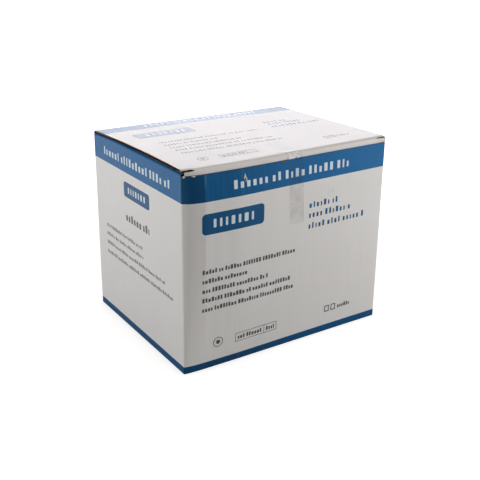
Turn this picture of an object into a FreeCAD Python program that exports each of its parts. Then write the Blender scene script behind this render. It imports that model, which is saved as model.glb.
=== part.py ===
"""A closed corrugated carton with a tuck-in lid, and the strip of clear tape that seals it.

The carton is one folded blank, so it is one solid. While it is modelled, x runs right along
the front, y into the depth and z up, from the front left bottom corner. The finished solids
are shifted so that the origin is the bottom centre of the whole.
"""
import FreeCAD, Part
import os

Vector = FreeCAD.Vector

# Driving dimensions, mm
WIDTH = 250.0
DEPTH = 198.0
BOARD = 2.7
SIDE_HEIGHT = 208.5
FRONT_HEIGHT = 206.3
CORNER_RADIUS = 2.2
DUST_FOLD_RADIUS = SIDE_HEIGHT - FRONT_HEIGHT

# The front panel is pushed out by the load: how far at each height, and the share along x
BULGE_AT_HEIGHT = ((0.0, 1.6), (9.0, 2.8), (60.0, 5.6), (120.0, 7.6), (180.0, 8.0), (FRONT_HEIGHT, 5.7))
BULGE_ALONG_X = ((0.0, 0.0), (10.0, 0.66), (21.5, 0.93), (62.0, 1.0), (150.0, 0.5), (WIDTH, 0.0))

# The lid's top surface at the front fold, at its crown and at the hinge
LID_CROWN_Y = 75.0
LID_LEFT_HEIGHTS = (212.4, 212.7, 208.9)
LID_RIGHT_HEIGHTS = (213.0, 211.9, 209.6)
LID_INSET = 0.4
LID_FOLD_RADIUS = 4.0
HINGE_RADIUS = 4.0
TUCK_FLAP_DEPTH = 30.0
DUST_FLAP_SHOWN = 32.0

# The slit locks at the ends of the lid's front fold, and the gap beside the tuck flap's shoulder
SLIT_FLOOR = 209.9
SLIT_HEIGHT = 1.3
SLIT_DEPTH = 6.0
LEFT_SLIT = 12.5
RIGHT_SLIT = 12.0
SHOULDER_START = 2.3
SHOULDER_GAP = 1.5
SHOULDER_GAP_DEPTH = 7.0

# The glued seam at the back right corner, where the side panel's cut edge shows
SEAM_WIDTH = 1.2
SEAM_DEPTH = 1.8

# The snap-lock bottom, seen from below
FLAP_REACH = 112.0
SIDE_FLAP_REACH = 82.0
SIDE_FLAP_TIP = 56.0
SIDE_FLAP_SHORT = 14.0
TONGUE_HALF_WIDTH = 48.0
TONGUE_TAPER = 6.0
TONGUE_SHOWN = 16.0
TONGUE_RISE = 7.5

# The sealing tape, which runs a little askew: its left edge below, at the fold and on the lid
TAPE_WIDTH = 18.6
TAPE_LEFT_BELOW = 121.4
TAPE_LEFT_AT_FOLD = 118.3
TAPE_LEFT_BEHIND = 115.5
TAPE_BOTTOM = 137.5
TAPE_LID_REACH = 38.0
TAPE_THICKNESS = 0.12
TAPE_BRIDGE = 2.4

# How far a cutting solid reaches past what it cuts
CLEARANCE = 20.0


def between(stations, at):
    """The value at a place, by straight runs between stated places."""
    low = stations[0]
    for high in stations[1:]:
        if at <= high[0]:
            share = (at - low[0]) / (high[0] - low[0])
            return low[1] + share * (high[1] - low[1])
        low = high
    return low[1]


def front_y(x, height):
    """Where the front panel's outer face is."""
    return -between(BULGE_AT_HEIGHT, height) * between(BULGE_ALONG_X, x)


def box(x, y, z):
    """A box from three pairs of low and high values."""
    return Part.makeBox(x[1] - x[0], y[1] - y[0], z[1] - z[0], Vector(x[0], y[0], z[0]))


def pulled(points, direction):
    """A flat polygon pulled along a direction into a solid."""
    return Part.Face(Part.makePolygon(points + points[:1])).extrude(direction)


def upright_edges(shape, places):
    """The upright edges of a solid that stand at one of some places in plan."""
    def stands(vertex):
        return any(abs(vertex.X - x) < 1e-3 and abs(vertex.Y - y) < 1e-3 for x, y in places)

    return [edge for edge in shape.Edges if all(stands(vertex) for vertex in edge.Vertexes)]


def outline(height, setback=0.0):
    """The carton's level outline, with its front moved back by a setback."""
    bulge = between(BULGE_AT_HEIGHT, height)
    corner, swell, crease, second_crease, far_swell, far_corner = (
        Vector(x, setback - bulge * share, height) for x, share in BULGE_ALONG_X
    )
    right_back = Vector(WIDTH, DEPTH, height)
    left_back = Vector(0.0, DEPTH, height)
    edges = (
        Part.Arc(corner, swell, crease),
        Part.LineSegment(crease, second_crease),
        Part.Arc(second_crease, far_swell, far_corner),
        Part.LineSegment(far_corner, right_back),
        Part.LineSegment(right_back, left_back),
        Part.LineSegment(left_back, corner),
    )
    return Part.Wire([edge.toShape() for edge in edges])


def front_block(setback):
    """The space behind the bulged front panel, up to the panel's cut edge."""
    return Part.makeLoft([outline(height, setback) for height, _ in BULGE_AT_HEIGHT], True, False)


def walls():
    """The four walls up to the front panel's cut edge, with their folds rounded."""
    block = front_block(0.0)
    folds = upright_edges(block, ((0.0, 0.0), (WIDTH, 0.0), (0.0, DEPTH)))
    folds += [edge for edge in block.Edges if all(vertex.Z < 1e-3 for vertex in edge.Vertexes)]
    return block.makeFillet(CORNER_RADIUS, folds)


def dust_flaps():
    """The side panels folded inwards at their tops, behind the lid's tuck flap."""
    start = FRONT_HEIGHT - TUCK_FLAP_DEPTH
    plan = (
        (0.0, CORNER_RADIUS), (BOARD, CORNER_RADIUS), (BOARD, 2.0 * BOARD),
        (WIDTH - BOARD, 2.0 * BOARD), (WIDTH - BOARD, CORNER_RADIUS), (WIDTH, CORNER_RADIUS),
        (WIDTH, DEPTH), (0.0, DEPTH),
    )
    block = pulled([Vector(x, y, start) for x, y in plan], Vector(0.0, 0.0, SIDE_HEIGHT - start))
    block = block.makeFillet(CORNER_RADIUS, upright_edges(block, ((0.0, DEPTH),)))
    folds = [
        edge for edge in block.Edges
        if all(vertex.Z > SIDE_HEIGHT - 1e-3 for vertex in edge.Vertexes)
        and (all(vertex.X < 1e-3 for vertex in edge.Vertexes)
             or all(vertex.X > WIDTH - 1e-3 for vertex in edge.Vertexes))
    ]
    return block.makeFillet(DUST_FOLD_RADIUS, folds)


def lid_line(x, depth_in_board):
    """The lid's section at a place along the front, at a depth in the board, as edges.

    It runs from the tuck flap's free edge, over the front fold and the crown, to the hinge.
    """
    share = x / WIDTH
    fold_z, crown_z, hinge_z = (
        left + share * (right - left) - depth_in_board
        for left, right in zip(LID_LEFT_HEIGHTS, LID_RIGHT_HEIGHTS)
    )
    fold = LID_FOLD_RADIUS - depth_in_board
    hinge = HINGE_RADIUS - depth_in_board
    face = front_y(x, FRONT_HEIGHT) + BOARD + depth_in_board
    back = DEPTH - depth_in_board
    foot_z = FRONT_HEIGHT - TUCK_FLAP_DEPTH
    diagonal = 1.0 - 0.5 ** 0.5

    def at(y, z):
        return Vector(x, y, z)

    fold_start, fold_end = at(face, fold_z - fold), at(face + fold, fold_z)
    hinge_start, hinge_end = at(back - hinge, hinge_z), at(back, hinge_z - hinge)
    edges = (
        Part.LineSegment(at(face, foot_z), fold_start),
        Part.Arc(fold_start, at(face + diagonal * fold, fold_z - diagonal * fold), fold_end),
        Part.Arc(fold_end, at(LID_CROWN_Y, crown_z), hinge_start),
        Part.Arc(hinge_start, at(back - diagonal * hinge, hinge_z - diagonal * hinge), hinge_end),
        Part.LineSegment(hinge_end, at(back, foot_z)),
    )
    return [edge.toShape() for edge in edges]


def closed(edges):
    """A wire that closes a run of edges with a straight one."""
    start, end = edges[0].Vertexes[0].Point, edges[-1].Vertexes[-1].Point
    return Part.Wire(edges + [Part.LineSegment(end, start).toShape()])


def lid_block(depth_in_board, places):
    """The space under the lid's surface at a depth in the board, from place to place along x."""
    return Part.makeLoft([closed(lid_line(x, depth_in_board)) for x in places], True, True)


def lid():
    """The lid as a board with its front fold, tuck flap and hinge, filled under its middle."""
    places = [LID_INSET] + [x for x, _ in BULGE_ALONG_X[1:-1]] + [WIDTH - LID_INSET]
    under = lid_block(BOARD, [-CLEARANCE] + places[1:-1] + [WIDTH + CLEARANCE])
    middle = box(
        (DUST_FLAP_SHOWN, WIDTH - DUST_FLAP_SHOWN),
        (-CLEARANCE, DEPTH + CLEARANCE),
        (0.0, SIDE_HEIGHT + CLEARANCE),
    )
    return lid_block(0.0, places).cut(under.cut(middle))


def slit(start, end):
    """The open end of the lid's front fold, between two places along it."""
    face = min(front_y(start, FRONT_HEIGHT), front_y(end, FRONT_HEIGHT)) + BOARD
    return box(
        (start, end),
        (face - CLEARANCE, face + SLIT_DEPTH),
        (SLIT_FLOOR, SLIT_FLOOR + SLIT_HEIGHT),
    )


def shoulder_gap():
    """The open corner between the left panel and the tuck flap's shoulder."""
    height = (FRONT_HEIGHT, SLIT_FLOOR)
    corner = box((-CLEARANCE, SHOULDER_START), (-CLEARANCE, CORNER_RADIUS), height)
    slot = box(
        (SHOULDER_START - SHOULDER_GAP, SHOULDER_START),
        (-CLEARANCE, SHOULDER_GAP_DEPTH),
        height,
    )
    return corner.fuse(slot)


def seam():
    """The groove beside the right panel's cut edge, where it is glued over the back."""
    inner = WIDTH - BOARD
    return box(
        (inner - SEAM_WIDTH, inner),
        (DEPTH - SEAM_DEPTH, DEPTH + CLEARANCE),
        (-CLEARANCE, FRONT_HEIGHT - HINGE_RADIUS),
    )


def ramp(start, end, rise, along_depth):
    """The space under a slope that leaves the floor at one place and has risen at another."""
    low = -CLEARANCE
    points = ((start, low), (start, 0.0), (end, rise), (end, low))
    if along_depth:
        return pulled([Vector(0.0, y, z) for y, z in points], Vector(WIDTH, 0.0, 0.0))
    return pulled([Vector(x, 0.0, z) for x, z in points], Vector(0.0, DEPTH, 0.0))


def bottom_relief():
    """What lies above the outer bottom flap: the side flaps, the inner flap and the tongue."""
    middle = WIDTH / 2.0
    flap_end = DEPTH - SIDE_FLAP_SHORT
    tongue_end = FLAP_REACH + TONGUE_SHOWN

    def region(points):
        return pulled([Vector(x, y, -CLEARANCE) for x, y in points], Vector(0.0, 0.0, 2.0 * CLEARANCE))

    side = region((
        (0.0, FLAP_REACH), (SIDE_FLAP_REACH, FLAP_REACH), (SIDE_FLAP_TIP, flap_end), (0.0, flap_end),
    )).common(ramp(0.0, SIDE_FLAP_REACH, BOARD, False))
    inner = region((
        (SIDE_FLAP_REACH, FLAP_REACH), (WIDTH - SIDE_FLAP_REACH, FLAP_REACH),
        (WIDTH - SIDE_FLAP_TIP, flap_end), (WIDTH - SIDE_FLAP_TIP, DEPTH),
        (SIDE_FLAP_TIP, DEPTH), (SIDE_FLAP_TIP, flap_end),
    )).common(ramp(DEPTH, FLAP_REACH, 2.0 * BOARD, True))
    tongue = region((
        (middle - TONGUE_HALF_WIDTH, FLAP_REACH), (middle + TONGUE_HALF_WIDTH, FLAP_REACH),
        (middle + TONGUE_HALF_WIDTH - TONGUE_TAPER, tongue_end),
        (middle - TONGUE_HALF_WIDTH + TONGUE_TAPER, tongue_end),
    ))
    slope = tongue.common(ramp(FLAP_REACH, tongue_end, TONGUE_RISE, True))
    mirrored = side.mirror(Vector(middle, 0.0, 0.0), Vector(1.0, 0.0, 0.0))
    return [side, mirrored, inner.cut(tongue), slope]


def make_carton():
    """Everything that was folded from the one blank."""
    carton = walls().fuse([dust_flaps(), lid()])
    openings = [slit(-CLEARANCE, LEFT_SLIT), slit(WIDTH - RIGHT_SLIT, WIDTH + CLEARANCE)]
    carton = carton.cut(openings + [shoulder_gap(), seam()] + bottom_relief())
    return carton.removeSplitter()


def tape_bridge(x):
    """The tape's section where it leaves the tuck flap and meets the front panel's edge."""
    panel = front_y(x, FRONT_HEIGHT)
    flap = panel + BOARD
    top = FRONT_HEIGHT + TAPE_BRIDGE
    points = (
        (panel - TAPE_THICKNESS, FRONT_HEIGHT), (flap - TAPE_THICKNESS, top),
        (flap, top), (panel, FRONT_HEIGHT),
    )
    points = [Vector(x, y, z) for y, z in points]
    return Part.makePolygon(points + points[:1])


def make_tape(carton):
    """The strip from the lid, over its fold and the cut edge, down the front panel."""
    at_fold = (TAPE_LEFT_AT_FOLD, TAPE_LEFT_AT_FOLD + TAPE_WIDTH)
    below = (TAPE_LEFT_BELOW, TAPE_LEFT_BELOW + TAPE_WIDTH)
    behind = (TAPE_LEFT_BEHIND, TAPE_LEFT_BEHIND + TAPE_WIDTH)
    lid_plan = (
        (at_fold[0], -CLEARANCE), (at_fold[0], 0.0), (behind[0], TAPE_LID_REACH),
        (behind[1], TAPE_LID_REACH), (at_fold[1], 0.0), (at_fold[1], -CLEARANCE),
    )
    front_plan = (
        (at_fold[0], FRONT_HEIGHT), (below[0], TAPE_BOTTOM),
        (below[1], TAPE_BOTTOM), (at_fold[1], FRONT_HEIGHT),
    )
    start = FRONT_HEIGHT + TAPE_BRIDGE
    above = pulled([Vector(x, y, start) for x, y in lid_plan], Vector(0.0, 0.0, CLEARANCE))
    before = pulled([Vector(x, 0.0, z) for x, z in front_plan], Vector(0.0, -CLEARANCE, 0.0))
    on_lid = lid_block(-TAPE_THICKNESS, (behind[0], at_fold[1])).common(above)
    on_panel = front_block(-TAPE_THICKNESS).common(before)
    bridge = Part.makeLoft([tape_bridge(x) for x in at_fold], True, True)
    tape = on_lid.fuse([on_panel, bridge]).cut(carton)
    return tape.removeSplitter()


def main():
    os.makedirs("parts", exist_ok=True)
    carton = make_carton()
    pieces = {"carton": carton, "sealing_tape": make_tape(carton)}
    bounds = carton.optimalBoundingBox()
    bottom_centre = Vector(bounds.Center.x, bounds.Center.y, bounds.ZMin)
    for name, piece in pieces.items():
        piece.translate(-bottom_centre)
        piece.exportStep(f"parts/{name}.step")
        print(name, piece.isValid(), len(piece.Solids), round(piece.Volume), piece.optimalBoundingBox())


main()
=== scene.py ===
"""Dresses a closed corrugated carton: its folded board, print, raw edges and sealing tape.

Shapes are worked out in millimetres from the front left bottom corner of the carton: x right
along the front, y into the depth and z up. They are placed in the frame in metres at the end.
"""

import math
import random

import bmesh
import bpy
from bpy.props import FloatProperty, FloatVectorProperty, IntProperty, PointerProperty
from bpy.types import Operator, Panel, PropertyGroup
from mathutils import Matrix, Vector, noise


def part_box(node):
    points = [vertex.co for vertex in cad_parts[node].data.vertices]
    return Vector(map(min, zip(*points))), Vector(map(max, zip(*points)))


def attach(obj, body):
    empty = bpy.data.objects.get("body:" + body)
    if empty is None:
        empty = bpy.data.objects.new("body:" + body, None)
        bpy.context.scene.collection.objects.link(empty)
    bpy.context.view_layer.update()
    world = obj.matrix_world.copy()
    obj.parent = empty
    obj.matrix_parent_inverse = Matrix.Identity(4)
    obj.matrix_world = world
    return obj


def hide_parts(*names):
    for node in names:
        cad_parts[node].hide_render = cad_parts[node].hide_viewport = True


bl_info = {
    "name": "Taped corrugated carton",
    "version": (1, 0, 0),
    "blender": (4, 5, 0),
    "location": "View3D > Sidebar > Carton",
    "description": "Builds the board, print, raw edges and tape of a closed corrugated carton",
    "category": "Add Mesh",
}

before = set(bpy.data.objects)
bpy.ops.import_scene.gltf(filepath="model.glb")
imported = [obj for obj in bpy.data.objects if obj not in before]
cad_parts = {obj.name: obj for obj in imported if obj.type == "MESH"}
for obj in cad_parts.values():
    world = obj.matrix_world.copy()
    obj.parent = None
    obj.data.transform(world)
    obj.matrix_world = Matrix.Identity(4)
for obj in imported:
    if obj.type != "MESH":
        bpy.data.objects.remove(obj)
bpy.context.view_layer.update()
CARTON_LOW, CARTON_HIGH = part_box("carton")
MM = 0.001

# Main sizes, in millimetres
WIDTH = (CARTON_HIGH.x - CARTON_LOW.x) / MM
DEPTH = 198.0
BOARD = 2.7
FRONT_HEIGHT = 206.3
SIDE_HEIGHT = 208.5
CORNER_RADIUS = 1.3
FOLD_RADIUS = 2.2

# How far the load pushes the front panel out, by height, and its share along the front
BULGE_AT_HEIGHT = ((0.0, 1.6), (9.0, 2.8), (60.0, 5.6), (120.0, 7.6), (180.0, 8.0), (FRONT_HEIGHT, 5.7))
BULGE_ALONG_X = (
    (0.0, 0.0), (2.0, 0.22), (4.5, 0.42), (7.0, 0.56), (10.0, 0.67), (14.0, 0.79), (21.5, 0.93),
    (62.0, 1.0), (100.0, 0.80), (150.0, 0.50), (200.0, 0.235), (WIDTH, 0.0),
)

# The lid's top surface at its front fold, crown and hinge, on the left and on the right
LID_CROWN_Y = 75.0
LID_LEFT_HEIGHTS = (212.4, 212.7, 208.9)
LID_RIGHT_HEIGHTS = (213.0, 211.9, 209.6)
LID_INSET = 0.4
LID_FOLD_RADIUS = 3.2
LID_FOLD_FORWARD = 1.9
FOLD_SQUARENESS = 0.8
HINGE_RADIUS = 4.0
TUCK_FLAP_DEPTH = 30.0
TUCK_FLAP_BACK = 6.5
TUCK_FLAP_TAPER = 14.0
DUST_FLAP_SHOWN = 32.0
DUST_FLAP_DROOP = 0.02
GAP_UNDER_LID = 0.2

# The slit locks, as (lower side, upper side), and the dust flaps' tips in them
LEFT_SLIT = (209.5, 210.7)
LEFT_SLIT_RISE = 1.1
RIGHT_SLIT = (211.2, 211.7)
SLIT_DEPTH = 6.0
LEFT_SLIT_END = 12.5
RIGHT_SLIT_START = 238.0
SLIT_TAPER = 3.5
SHOULDER_START = 3.0
TAB_TIP = 1.2
TAB_FRONT = (3.6, 2.7)
TAB_BACK = 25.0
TAB_TIP_BACK = 6.0

# The recess in a cut edge: where it starts and ends in the board's thickness, and its depth. Its sides
# slope in under a rim, and it narrows towards the hinge, where the board is pressed.
OPEN_EDGE = (0.13, 0.87, 0.5)
SLIT_EDGE = (0.34, 0.985, 5.0)
RECESS_SLOPE = 0.02
RECESS_RIM = 0.25
HINGE_PINCH = 0.5
HINGE_PINCH_REACH = 90.0

# The seam at the back right corner: the cut edge of the right panel, then a groove
SEAM_START = BOARD
SEAM_END = BOARD + 1.2
SEAM_DEPTH = 1.8
SEAM_CORNERS = ((SEAM_START, 0.0), (SEAM_START, SEAM_DEPTH), (SEAM_END, SEAM_DEPTH))

# The lower and upper blue bands, and the band at the back of the lid
LOW_BAND_TOP = 8.5
HIGH_BAND_BOTTOM = 179.9
LID_BAND_START = 170.8

# The fluting between the liners, and how deep the walls' rim and the front's fluting are modelled
FLUTE_PITCH = 5.8
FLUTE_STEP = FLUTE_PITCH / 4.0
LINER = 0.35
RIM_DEPTH = 3.0
FLUTES_SHOWN = 2.9
FLUTE_PAPER = 0.22

# How far the walls and the lid are drawn in, so that their unevenness stays within the carton. The lid's
# starts away from its ends and folds, and its noise is read above the walls'.
WALL_SETTLE = 0.22
LID_SETTLE = 0.1
LID_END_FADE = 3.0
LID_EDGE = 4.0
LID_NOISE_START = 300.0

# The wobble of the flutes across the board and the change of their height, as (amount, length), and how
# high they are on average
FLUTE_WOBBLE, FLUTE_CHANGE = (0.9, 23.0), (0.9, 9.0)
FLUTE_STRENGTH = 0.6

# The unevenness of a handled panel, as (height, length across, length along)
SLOW_SAG, QUICK_SAG = (0.22, 70.0, 90.0), (0.05, 22.0, 60.0)

# How far from a fold the flutes and the unevenness reach their full height
FADE_REACH = 6.0

# Where the finishes read the lid and the bottom, as if they lay further around than the walls
LID_AROUND = 1000.0
BOTTOM_AROUND = 2000.0

# How rubbed the board is, from nought to one: at its folds, at the front's upper edge, at the walls' upright
# corners and beside them. The last two are more rubbed at the foot, by a second value.
FOLD_WEAR = 0.36
FRONT_EDGE_WEAR = 0.30
CORNER_WEAR = (0.32, 0.18)
BESIDE_CORNER_WEAR = (0.30, 0.25)

# The same for the lid behind its front fold, and how far it reaches
LID_FRONT_WEAR, LID_FRONT_REACH = 0.5, 4.0

# How far the walls' rubbing reaches: up from the foot, up from the foot's fold, beside a corner and down
# the front
FOOT_REACH, FOOT_FOLD_REACH, CORNER_REACH, FRONT_EDGE_REACH = 12.0, 3.0, 5.0, 2.5

# Mesh rows: round a wall's foot and up its top band, and over the lid's fold, top, band and hinge
FOOT_ROWS, UPPER_ROWS = 5, 4
FOLD_ROWS, LID_ROWS, LID_BAND_ROWS, HINGE_ROWS = 10, 28, 4, 6
CORNER_TURNS = 4

# Points nearer than this, in metres, are joined. An edge is sharp over an angle in degrees.
JOIN_DISTANCE = 2e-6
SHARP_OVER, TAPE_SHARP_OVER = 32.0, 60.0

WHITE, BLUE, KRAFT = range(3)


def between(stations, at):
    """The value at a place, by straight runs between stated places."""
    low = stations[0]
    for high in stations[1:]:
        if at <= high[0]:
            share = (at - low[0]) / (high[0] - low[0])
            return low[1] + share * (high[1] - low[1])
        low = high
    return low[1]


def placed(point):
    """A point in millimetres from the carton's corner, in the frame's metres."""
    x, y, z = point
    return Vector((CARTON_LOW.x + x * MM, CARTON_HIGH.y - (DEPTH - y) * MM, z * MM))


def flute_lift(across):
    """How far the liner stands out over the fluting, at a place across the flutes."""
    wobble = FLUTE_WOBBLE[0] * noise.noise(Vector((across / FLUTE_WOBBLE[1], 4.1, 0.0)))
    change = FLUTE_CHANGE[0] * noise.noise(Vector((across / FLUTE_CHANGE[1], 0.0, 7.7)))
    wave = math.cos(2.0 * math.pi * (across + wobble) / FLUTE_PITCH)
    return settings().flute_relief / MM * (FLUTE_STRENGTH + change) * wave


def sag(across, along):
    """The shallow unevenness of a handled panel."""
    slow = noise.noise(Vector((across / SLOW_SAG[1], along / SLOW_SAG[2], 1.3)))
    quick = noise.noise(Vector((across / QUICK_SAG[1], along / QUICK_SAG[2], 5.9)))
    return SLOW_SAG[0] * slow + QUICK_SAG[0] * quick


def evenly(start, end, count):
    """A number of even steps from start to end, with both ends."""
    return [start + (end - start) * index / count for index in range(count + 1)]


def steps(start, end, pitch):
    """Evenly spaced places from start to end, at most a pitch apart."""
    return evenly(start, end, max(1, math.ceil(abs(end - start) / pitch - 1e-6)))


def front_y(x, z):
    """Where the front panel's outer face is, before flutes and wear."""
    height = max(0.0, min(z, FRONT_HEIGHT))
    return -between(BULGE_AT_HEIGHT, height) * between(BULGE_ALONG_X, x)


def edge_fade(distance, reach=FADE_REACH):
    """Goes from nought at a fold to one away from it."""
    share = max(0.0, min(1.0, distance / reach))
    return share * share * (3.0 - 2.0 * share)


def fading(distance, reach):
    """One at a place and nought from a reach away, in a straight run."""
    return max(0.0, 1.0 - distance / reach)


def wall_out(around, at, length, z, lift, settle=WALL_SETTLE):
    """How far a wall's face stands out, at a place across the panel and around the carton."""
    fade = edge_fade(min(at, length - at)) * edge_fade(z)
    return lift + flute_lift(around) * fade + (sag(around, z) - settle) * fade


def on_front(x, z, lift=0.0):
    """A point of the front panel."""
    return (x, front_y(x, z) - wall_out(x, x, WIDTH, z, lift, 0.0), z)


def on_left(y, z, lift=0.0):
    """A point of the left panel, read from its back edge."""
    return (-wall_out(y - DEPTH, y, DEPTH, z, lift), DEPTH - y, z)


def on_right(y, z, lift=0.0):
    """A point of the right panel, read from its front edge."""
    return (WIDTH + wall_out(WIDTH + y, y, DEPTH, z, lift), y, z)


def on_back(x, z, lift=0.0):
    """A point of the back panel, read from its right edge."""
    return (WIDTH - x, DEPTH + wall_out(WIDTH + DEPTH + x, x, WIDTH, z, lift), z)


def lid_heights(x):
    """The lid's height at the fold, crown and hinge, at a place along the front."""
    share = x / WIDTH
    return tuple(left + share * (right - left) for left, right in zip(LID_LEFT_HEIGHTS, LID_RIGHT_HEIGHTS))


def lid_z(x, y):
    """The height of the lid's top between its fold and its hinge."""
    fold_z, crown_z, hinge_z = lid_heights(x)
    start = front_y(x, FRONT_HEIGHT) + BOARD + LID_FOLD_RADIUS
    end = DEPTH - HINGE_RADIUS
    y = max(start, min(y, end))
    first = (y - LID_CROWN_Y) * (y - end) / ((start - LID_CROWN_Y) * (start - end))
    second = (y - start) * (y - end) / ((LID_CROWN_Y - start) * (LID_CROWN_Y - end))
    third = (y - start) * (y - LID_CROWN_Y) / ((end - start) * (end - LID_CROWN_Y))
    return fold_z * first + crown_z * second + hinge_z * third


def on_lid(x, y, lift=0.0):
    """A point of the lid's top."""
    fade = edge_fade(min(x, WIDTH - x), LID_END_FADE) * edge_fade(min(y, DEPTH - y) - LID_EDGE)
    out = lift + flute_lift(x) * fade + (sag(x, LID_NOISE_START + y) - LID_SETTLE) * fade
    return (x, y, lid_z(x, y) + out)


def side_top(x, y):
    """How high a side panel's upper fold is, under the lid."""
    return min(SIDE_HEIGHT, lid_z(x, y) - BOARD - GAP_UNDER_LID)


class Value:
    """Wraps a node socket, so that shader maths is written as expressions."""

    def __init__(self, tree, socket):
        self.tree = tree
        self.socket = socket

    def maths(self, operation, *others):
        return self.tree.node("ShaderNodeMath", {"operation": operation}, (self, *others))

    def __add__(self, other):
        return self.maths("ADD", other)

    def __sub__(self, other):
        return self.maths("SUBTRACT", other)

    def __rsub__(self, other):
        return self.tree.node("ShaderNodeMath", {"operation": "SUBTRACT"}, (other, self))

    def __mul__(self, other):
        return self.maths("MULTIPLY", other)

    def above(self, edge, softness):
        """Nought under an edge and one over it, with a soft change."""
        return self.tree.node(
            "ShaderNodeMapRange", {"interpolation_type": "SMOOTHSTEP"},
            {"Value": self, "From Min": edge - softness, "From Max": edge + softness}, "Result",
        )

    def under(self, edge, softness):
        """One under an edge and nought over it."""
        return 1.0 - self.above(edge, softness)

    def near(self, centre, reach):
        """One at a centre and nought beyond a reach from it."""
        return (self - centre).maths("ABSOLUTE").under(reach * 0.5, reach * 0.5)


class Finish:
    """A material under construction."""

    def __init__(self, name):
        self.material = bpy.data.materials.new(name)
        self.material.use_nodes = True
        self.nodes = self.material.node_tree.nodes
        self.links = self.material.node_tree.links
        self.shader = self.nodes["Principled BSDF"]
        self.output = self.nodes["Material Output"]

    def node(self, kind, choices=None, inputs=(), output=0):
        """Adds a node, makes its choices, then fills its sockets with values or links."""
        made = self.nodes.new(kind)
        for name, value in (choices or {}).items():
            setattr(made, name, value)
        pairs = inputs.items() if isinstance(inputs, dict) else enumerate(inputs)
        for key, value in pairs:
            self.fill(made.inputs[key], value)
        return Value(self, made.outputs[output])

    def fill(self, socket, value):
        if isinstance(value, Value):
            self.links.new(value.socket, socket)
        else:
            socket.default_value = value

    def set(self, **sockets):
        """Fills the main shader's sockets, with underscores for spaces."""
        for name, value in sockets.items():
            self.fill(self.shader.inputs[name.replace("_", " ")], value)
        return self.material

    def place(self):
        return self.node("ShaderNodeTexCoord", output="Object")

    def axis(self, place, name):
        """A place's distance along X, Y or Z, in metres."""
        return self.node("ShaderNodeSeparateXYZ", None, (place,), name)

    def read(self, name):
        return self.node("ShaderNodeAttribute", {"attribute_name": name}, output="Fac")

    def vector(self, x, y, z):
        return self.node("ShaderNodeCombineXYZ", None, (x, y, z))

    def grain(self, place, scale, detail=3.0, roughness=0.55):
        return self.node(
            "ShaderNodeTexNoise", None,
            {"Vector": place, "Scale": scale, "Detail": detail, "Roughness": roughness}, "Fac",
        )

    def mix(self, factor, first, second):
        return self.node(
            "ShaderNodeMix", {"data_type": "RGBA", "clamp_factor": True},
            {0: factor, 6: first, 7: second}, 2,
        )

    def bump(self, height, strength, distance):
        return self.node(
            "ShaderNodeBump", None, {"Height": height, "Strength": strength, "Distance": distance}, "Normal",
        )


def linear(colour):
    """A display colour from nought to 255, as the four linear values of a socket."""
    def straight(value):
        value = value / 255.0
        return value / 12.92 if value <= 0.04045 else ((value + 0.055) / 1.055) ** 2.4

    return tuple(straight(value) for value in colour) + (1.0,)


def scaled(colour, factor):
    """A linear colour made deeper or lighter."""
    return tuple(min(1.0, value * factor) for value in colour[:3]) + (1.0,)


def prop_colour(name, colour, description):
    """A colour that the user may change."""
    return FloatVectorProperty(
        name=name, description=description, subtype="COLOR", size=4, min=0.0, max=1.0,
        default=linear(colour),
    )


def prop_length(name, length, least, most, description):
    """A length, given here in millimetres, that the user may change."""
    return FloatProperty(
        name=name, description=description, unit="LENGTH", precision=5,
        default=length * MM, min=least * MM, max=most * MM,
    )


class CartonSettings(PropertyGroup):
    """Sizes and colours of the carton."""

    white: prop_colour("White liner", (231, 229, 227), "The coated liner of the board")
    blue: prop_colour("Blue ink", (2, 87, 142), "The bands and the large print")
    dark: prop_colour("Dark ink", (34, 34, 38), "The small print")
    knocked_out: prop_colour("Pale print", (216, 228, 236), "The pale print in the bands and on the plates")
    kraft: prop_colour("Kraft", (122, 92, 66), "The board's cut edges and inner liner")
    tape: prop_colour("Tape", (88, 78, 76), "The tint of the clear tape")
    row_height: prop_length("Row height", 6.0, 1.0, 40.0, "Height of a mesh row on the walls")
    flute_relief: prop_length("Flute relief", 0.030, 0.0, 0.3, "How far the liner stands out over a flute")
    tape_width: prop_length("Tape width", 18.6, 5.0, 60.0, "Width of the strip of clear tape")
    print_seed: IntProperty(
        name="Print pattern", description="Chooses the widths of the blocks that stand for print", default=11,
    )


def settings():
    return bpy.context.scene.carton_settings


# The tint of reflections in the liner's coating and in the blue ink
GLOSS = (1.0, 1.0, 1.0, 1.0)
INK_GLOSS = (0.55, 0.95, 1.0, 1.0)

# The colours of wear and of painted light: handled liner, which is also painted shade, the painted shade of
# the strip beside the corner, the lid's dirty fold, a smear of ink, a painted highlight on creased ink,
# painted shade in an open cut edge, and painted highlights on crumpled tape
HANDLED_AND_SHADED = (0.72, 0.69, 0.65, 1.0)
SHADED = (0.60, 0.585, 0.57, 1.0)
DIRTY_FOLD = (0.78, 0.68, 0.59, 1.0)
SMEAR = (0.30, 0.52, 0.66, 1.0)
CREASE_HIGHLIGHT_INK = (0.22, 0.40, 0.52, 1.0)
RECESS_SHADE = (0.004, 0.003, 0.002, 1.0)
CRUMPLE_HIGHLIGHT = (1.0, 0.97, 0.95, 1.0)

# Where painted light and shade lie around the walls, in millimetres from the front left corner: painted
# shade on the strip beside the corner that turns away from the lamps, a painted highlight on a crease along
# it and on one at the tear, painted shade on a pressed line, and painted shade on the ribbed part
TURNED_START, TURNED_END = -0.6, 21.9
TURNED_CREASE = 22.6
TEAR_CREASE = 62.8
PRESSED_LINE = 46.0
RIBBED_START, RIBBED_END = 23.0, 90.0

# Smears of ink, as (around, reach, height, reach upwards), with the last two in metres
SMEARS = ((83.0, 27.0, 0.017, 0.005), (176.0, 7.0, 0.165, 0.006))

# Where the lid's fold is dirty, where its liner is painted in shade and where its ink is glossy, read around
LID_DIRT_START = LID_AROUND - 10.0
LID_SHADE_START = LID_AROUND + 170.0
LID_GLOSS_AT = LID_AROUND + 140.0
LID_GLOSS_REACH = 120.0
LID_GLOSS_ROUGHNESS = 0.35

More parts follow.
